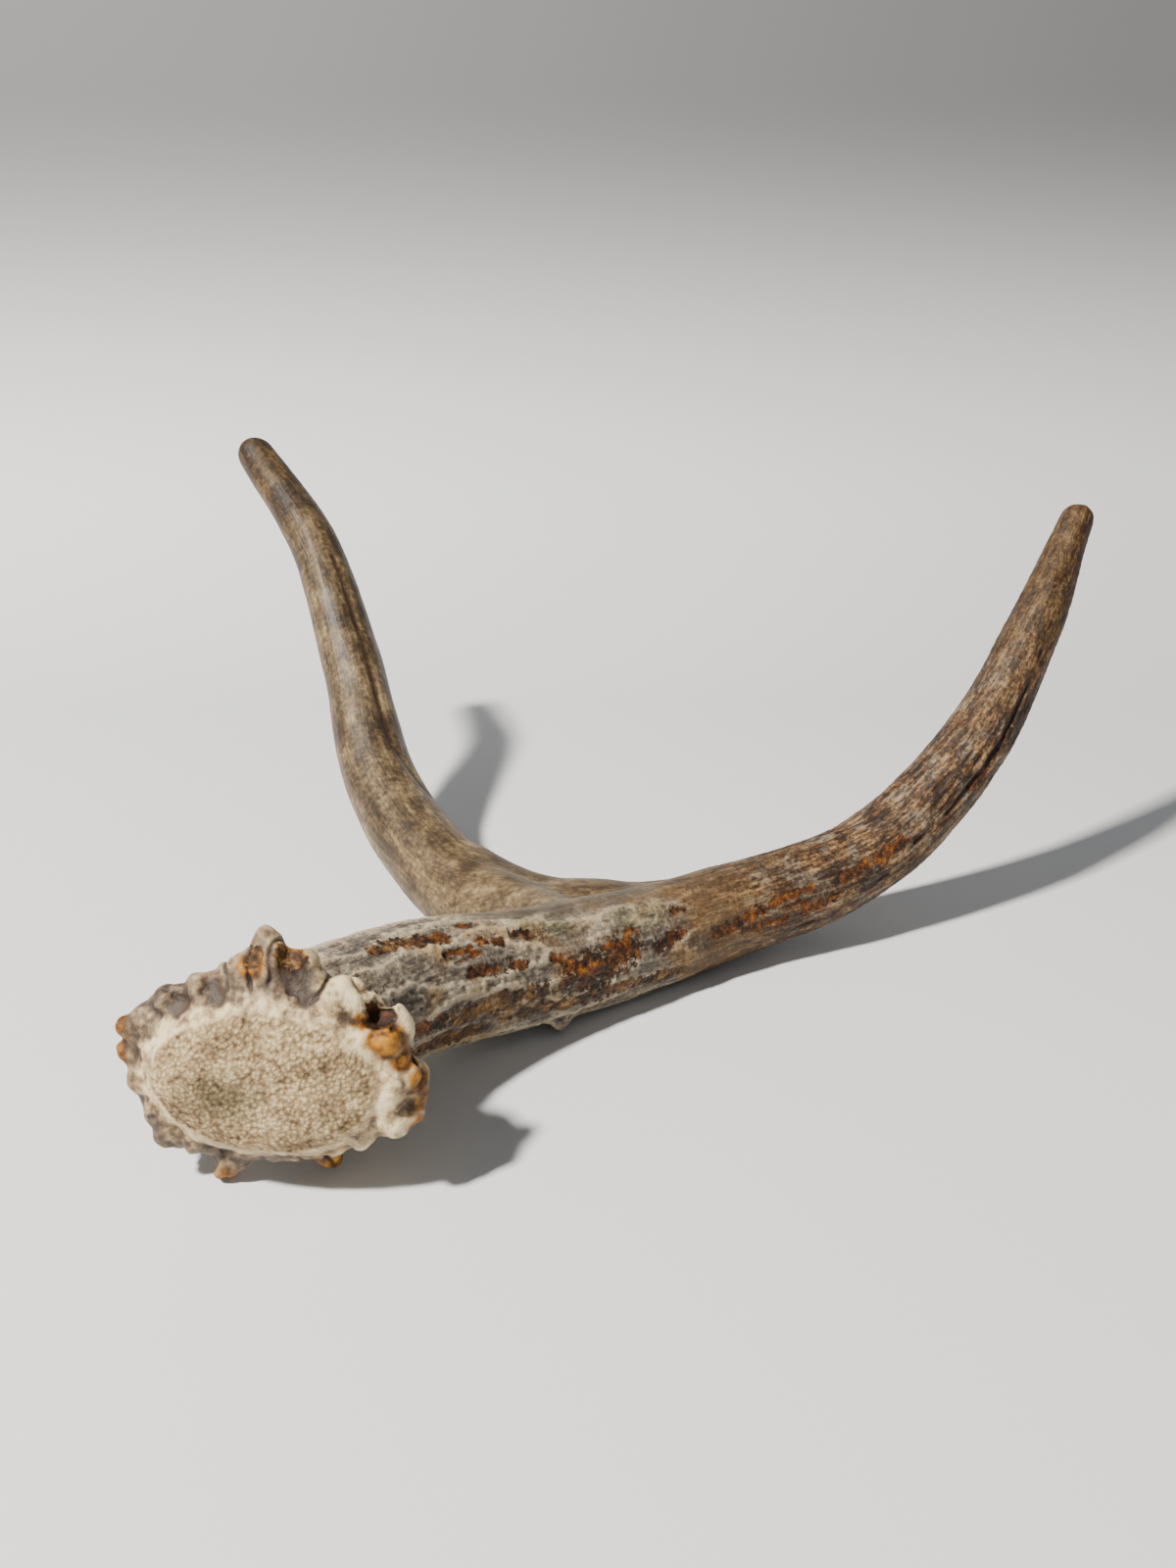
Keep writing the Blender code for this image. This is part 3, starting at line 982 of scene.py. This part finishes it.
def add_piece(name, cuts, material, node_name):
    """The skin cut by each (point, direction), keeping what lies behind, with its cut faces closed flat."""
    bm = bmesh.new()
    bm.from_mesh(skin)
    for point, direction in cuts:
        whole = bm.verts[:] + bm.edges[:] + bm.faces[:]
        place = Vector(point) * MM
        cut = bmesh.ops.bisect_plane(
            bm, geom=whole, dist=1e-7, plane_co=place, plane_no=direction, clear_outer=True
        )
        rim = [item for item in cut["geom_cut"] if isinstance(item, bmesh.types.BMEdge)]
        for face in bmesh.ops.holes_fill(bm, edges=rim, sides=0)["faces"]:
            for edge in face.edges:
                edge.smooth = False
    bmesh.ops.triangulate(bm, faces=bm.faces[:])
    mesh = bpy.data.meshes.new(name)
    bm.to_mesh(mesh)
    bm.free()
    mesh.materials.clear()
    mesh.materials.append(material)
    for face in mesh.polygons:
        face.use_smooth = True
    piece = bpy.data.objects.new(name, mesh)
    bpy.context.scene.collection.objects.link(piece)
    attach(piece, "root")
    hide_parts(node_name)


SATIN = (satin_tine(), "zone", 0)
left_finish = bone_material("satin_bone", (SATIN,), gloss=1.45)
add_piece("left_tine_bone", (back_to_front(LEFT_CUT),), left_finish, "left_tine")


# ---- The right tine ----
# The right tine is the beam's own end, which curves up past the fork to a rounded tip. It is the same
# bone, streaked with short dark dashes and rust along its fibres, and fixed to the same root.


def streaked_tine():
    """Short dark dashes, rust flecks and pale fibres, smoother and yellower to the tip."""
    tree, below = look("streaked_tine")
    long_grain = fibres(tree, 1.5, 8, detail=3, roughness=0.65)
    fine = fibres(tree, 0.5, 3, detail=3)
    cloud = lumps(tree, 9, detail=2, offset=7)
    speck = lumps(tree, 1.0, detail=4, roughness=0.7, offset=4)
    tone = weighed(tree, (long_grain, 0.8), (speck, 0.7), (cloud, 0.4), (fine, 0.4), (1.0, -0.65))
    colour = ramp(
        tree, tone,
        (0.30, 20, 11, 6), (0.43, 50, 32, 17), (0.54, 88, 62, 36), (0.72, 154, 124, 84),
    )
    grey = ramp(tree, tone, (0.30, 24, 18, 14), (0.46, 64, 55, 46), (0.72, 138, 125, 106))
    greyer = between(tree, lumps(tree, 6, detail=3, roughness=0.6, offset=19), 0.46, 0.64)
    colour = mix_colour(tree, weighed(tree, (greyer, 0.75)), colour, grey)
    flecks = between(tree, fibres(tree, 2.0, 6, detail=4, roughness=0.7), 0.60, 0.66)
    colour = mix_colour(tree, weighed(tree, (flecks, 0.7)), colour, paint(98, 50, 15))
    dashes = between(tree, fibres(tree, 0.9, 4.5, detail=2, roughness=0.6), 0.61, 0.67)
    colour = mix_colour(tree, weighed(tree, (dashes, 0.6)), colour, paint(34, 18, 9))
    _, _, at_tip = channels(tree, "zone")
    tip_colour = ramp(tree, tone, (0.29, 34, 21, 10), (0.50, 67, 47, 24), (0.73, 111, 85, 50))
    colour = mix_colour(tree, weighed(tree, (at_tip, 0.85)), colour, tip_colour)
    finish_look(
        tree, below, below["Share"], colour, mix_value(tree, speck, 0.48, 0.75),
        weighed(tree, (fine, 0.25), (speck, 0.25), (long_grain, 0.25), (dashes, -0.15)),
    )
    return tree


STREAKED = (streaked_tine(), "zone", 1)
right_finish = bone_material("streaked_bone", (SATIN, STREAKED), gloss=1.4)
add_piece("right_tine_bone", (back_to_front(RIGHT_CUT),), right_finish, "right_tine")


# ---- The beam and its burr ----
# The beam ends in the burr, a ring of cream bone knobs round the sandy seal where the antler was shed.
# Both are one bone with the tines, fixed to the same root. They are shown as two pieces that meet flat
# just behind the burr, which keeps each mesh light.

BURR_CUT = ((-66.5, -106, 24), (0.3, 0.95, -0.1))


def crumbs(tree, size):
    """How far each point is from the middle of its crumb. Crumbs are this many millimetres wide."""
    spot = node(tree, "ShaderNodeTexCoord").outputs["Object"]
    inputs = {"Vector": scaled(tree, spot, (1 / (size * MM),) * 3), "Scale": 1.0}
    return node(tree, "ShaderNodeTexVoronoi", inputs).outputs["Distance"]


def burr_bone():
    """The burr's lobes and collar: cream bone, with painted grey-violet shade in the hollows and sunk
    places, yellowed where stained.
    """
    tree, below = look("burr_bone")
    _, _, ambered = channels(tree, "stain")
    _, _, sunk = channels(tree, "face")
    _, _, hollow_shade = channels(tree, "form")
    mottle = lumps(tree, 1.4, detail=4, roughness=0.65, offset=1)
    cloud = lumps(tree, 6, detail=3, offset=6)
    # Sunk places and the hollows are darkened: painted shade.
    tone = weighed(tree, (mottle, 0.7), (cloud, 0.8), (sunk, -0.50), (hollow_shade, -0.25), (1.0, -0.10))
    colour = ramp(
        tree, tone,
        (0.18, 50, 39, 30), (0.32, 104, 84, 62), (0.46, 168, 143, 106), (0.62, 222, 202, 160),
    )
    # The hollows are painted in a dark grey-brown shade.
    colour = mix_colour(tree, weighed(tree, (hollow_shade, 0.9)), colour, paint(80, 67, 57))
    stain = between(tree, weighed(tree, (ambered, 1.0), (mottle, 0.9)), 0.5, 1.3)
    amber = ramp(
        tree, tone,
        (0.24, 28, 14, 4), (0.44, 78, 45, 9), (0.60, 136, 86, 14), (0.78, 176, 121, 32),
    )
    colour = mix_colour(tree, stain, colour, amber)
    finish_look(
        tree, below, below["Share"], colour, mix_value(tree, mottle, 0.45, 0.7),
        weighed(tree, (mottle, 0.4)),
    )
    return tree


def seal_bone():
    """The seal where the antler was shed: a coarse, dull, sandy break, with an olive patch."""
    tree, below = look("seal_bone")
    _, _, ambered = channels(tree, "stain")
    _, _, sunk = channels(tree, "face")
    _, _, olive = channels(tree, "form")
    grit = lumps(tree, 1.1, detail=4, roughness=0.68, offset=8)
    cloud = lumps(tree, 6, detail=3, roughness=0.6, offset=12)
    crumb = crumbs(tree, 0.9)
    # Sunk places are darkened: painted shade.
    tone = weighed(tree, (grit, 0.55), (crumb, -0.34), (cloud, 0.6), (sunk, -0.40), (1.0, 0.27))
    colour = ramp(
        tree, tone,
        (0.26, 80, 62, 42), (0.40, 126, 104, 74), (0.54, 164, 140, 102), (0.70, 206, 184, 142),
    )
    greened = weighed(tree, (olive, 0.75))
    colour = mix_colour(tree, greened, colour, paint(166, 170, 164), "MULTIPLY")
    yellowed = weighed(tree, (ambered, 0.5))
    colour = mix_colour(tree, yellowed, colour, paint(190, 166, 104), "MULTIPLY")
    finish_look(
        tree, below, below["Share"], colour, mix_value(tree, grit, 0.75, 0.95),
        weighed(tree, (grit, 0.6), (crumb, -0.45)),
    )
    return tree


BURR = (burr_bone(), "face", 1)
SEAL = (seal_bone(), "face", 0)
beam_finish = bone_material("weathered_bone", (SATIN, STREAKED, BURR, SEAL), gloss=1.4)
add_piece("burr_bone", (BURR_CUT,), beam_finish, "beam")
beam_cuts = (back_to_front(BURR_CUT), LEFT_CUT, RIGHT_CUT)
add_piece("beam_bone", beam_cuts, beam_finish, "beam")


# ---- The paper, the light and the camera ----
# The antler lies on a sheet of pale paper that runs flat under it and curves up behind it. A small warm
# lamp from the left throws the hard shadow, and a wide faint one and a dim room fill it in.

PAPER_HALF_WIDTH = 2500
PAPER_FRONT = -2500
BEND_START = 210
BEND_RADIUS = 260
BEND_ANGLE = math.radians(80)
BEND_STEPS = 24
PAPER_HEIGHT = 1500
PAPER_COLOUR = (220, 222, 224)
PAPER_SHADE_COLOUR = (104, 105, 107)
SHADE_HEIGHTS = (50, 300)


def paper_material():
    """Pale paper with painted shade: darker where it curves up, away from the light."""
    material = bpy.data.materials.new("pale_paper")
    material.use_nodes = True
    tree = material.node_tree
    shader = tree.nodes["Principled BSDF"]
    spot = node(tree, "ShaderNodeTexCoord").outputs["Object"]
    height = node(tree, "ShaderNodeSeparateXYZ", {0: spot}).outputs[2]
    # Painted shade: the paper darkens between these heights.
    far = between(tree, height, *(end * MM for end in SHADE_HEIGHTS))
    colour = mix_colour(tree, far, paint(*PAPER_COLOUR), paint(*PAPER_SHADE_COLOUR))
    tree.links.new(colour, shader.inputs["Base Color"])
    shader.inputs["Roughness"].default_value = 0.7
    return material


def add_paper():
    """The sheet, pushed out from its front edge: flat, round the bend, and straight up to its top."""
    bm = bmesh.new()
    ends = [bm.verts.new((side * PAPER_HALF_WIDTH * MM, PAPER_FRONT * MM, 0)) for side in (-1, 1)]
    line = [bm.edges.new(ends)]
    pushes = [(0, BEND_START - PAPER_FRONT, 0)]
    length = BEND_RADIUS * BEND_ANGLE / BEND_STEPS
    for i in range(BEND_STEPS):
        angle = BEND_ANGLE * (i + 0.5) / BEND_STEPS
        pushes.append((0, length * math.cos(angle), length * math.sin(angle)))
    pushes.append((0, PAPER_HEIGHT * math.cos(BEND_ANGLE), PAPER_HEIGHT * math.sin(BEND_ANGLE)))
    for push in pushes:
        made = bmesh.ops.extrude_edge_only(bm, edges=line)["geom"]
        moved = [item for item in made if isinstance(item, bmesh.types.BMVert)]
        bmesh.ops.translate(bm, vec=Vector(push) * MM, verts=moved)
        line = [item for item in made if isinstance(item, bmesh.types.BMEdge)]
    bmesh.ops.recalc_face_normals(bm, faces=bm.faces[:])
    mesh = bpy.data.meshes.new("paper_sweep")
    bm.to_mesh(mesh)
    bm.free()
    mesh.shade_smooth()
    mesh.materials.append(paper_material())
    paper = bpy.data.objects.new("paper_sweep", mesh)
    bpy.context.scene.collection.objects.link(paper)


def add_lamp(name, place, size, power, colour):
    """A square lamp, in metres and watts, that shines at the middle of the antler."""
    light = bpy.data.lights.new(name, "AREA")
    light.shape = "SQUARE"
    light.size = size
    light.energy = power
    light.color = colour
    lamp = bpy.data.objects.new(name, light)
    lamp.location = place
    lamp.rotation_euler = (Vector(LAMP_AIM) - Vector(place)).to_track_quat("-Z", "Y").to_euler()
    bpy.context.scene.collection.objects.link(lamp)


add_paper()

# Lamps and camera, in metres. The key lamp stands to the left, behind the camera, and rather high.
LAMP_AIM = (0, 0, 0.03)
KEY_DISTANCE = 1.6
KEY_TURN = math.radians(52.7)  # to the left of straight ahead, from behind the camera
KEY_ELEVATION = math.radians(51)
CAMERA_PLACE = (-0.011, -0.3095, 0.150)
CAMERA_DIP = math.radians(20.1)
ROOM_COLOUR = (0.92, 0.95, 1.0)
ROOM_STRENGTH = 0.16

key_place = Vector((
    -math.sin(KEY_TURN) * math.cos(KEY_ELEVATION),
    -math.cos(KEY_TURN) * math.cos(KEY_ELEVATION),
    math.sin(KEY_ELEVATION),
)) * KEY_DISTANCE
add_lamp("key", key_place, 0.12, 64, (1.0, 0.95, 0.88))
add_lamp("fill", (0.5, -1.4, 1.5), 1.6, 2, (0.94, 0.97, 1.0))

room = bpy.data.worlds.new("soft_room")
room.use_nodes = True
room.node_tree.nodes["Background"].inputs["Color"].default_value = (*ROOM_COLOUR, 1)
room.node_tree.nodes["Background"].inputs["Strength"].default_value = ROOM_STRENGTH
bpy.context.scene.world = room

lens = bpy.data.cameras.new("camera")
lens.lens = 27
lens.sensor_width = 36
lens.clip_start = 0.01
camera = bpy.data.objects.new("camera", lens)
camera.location = CAMERA_PLACE
camera.rotation_euler = (math.radians(90) - CAMERA_DIP, 0, 0)
bpy.context.scene.collection.objects.link(camera)
bpy.context.scene.camera = camera

bpy.data.meshes.remove(skin)
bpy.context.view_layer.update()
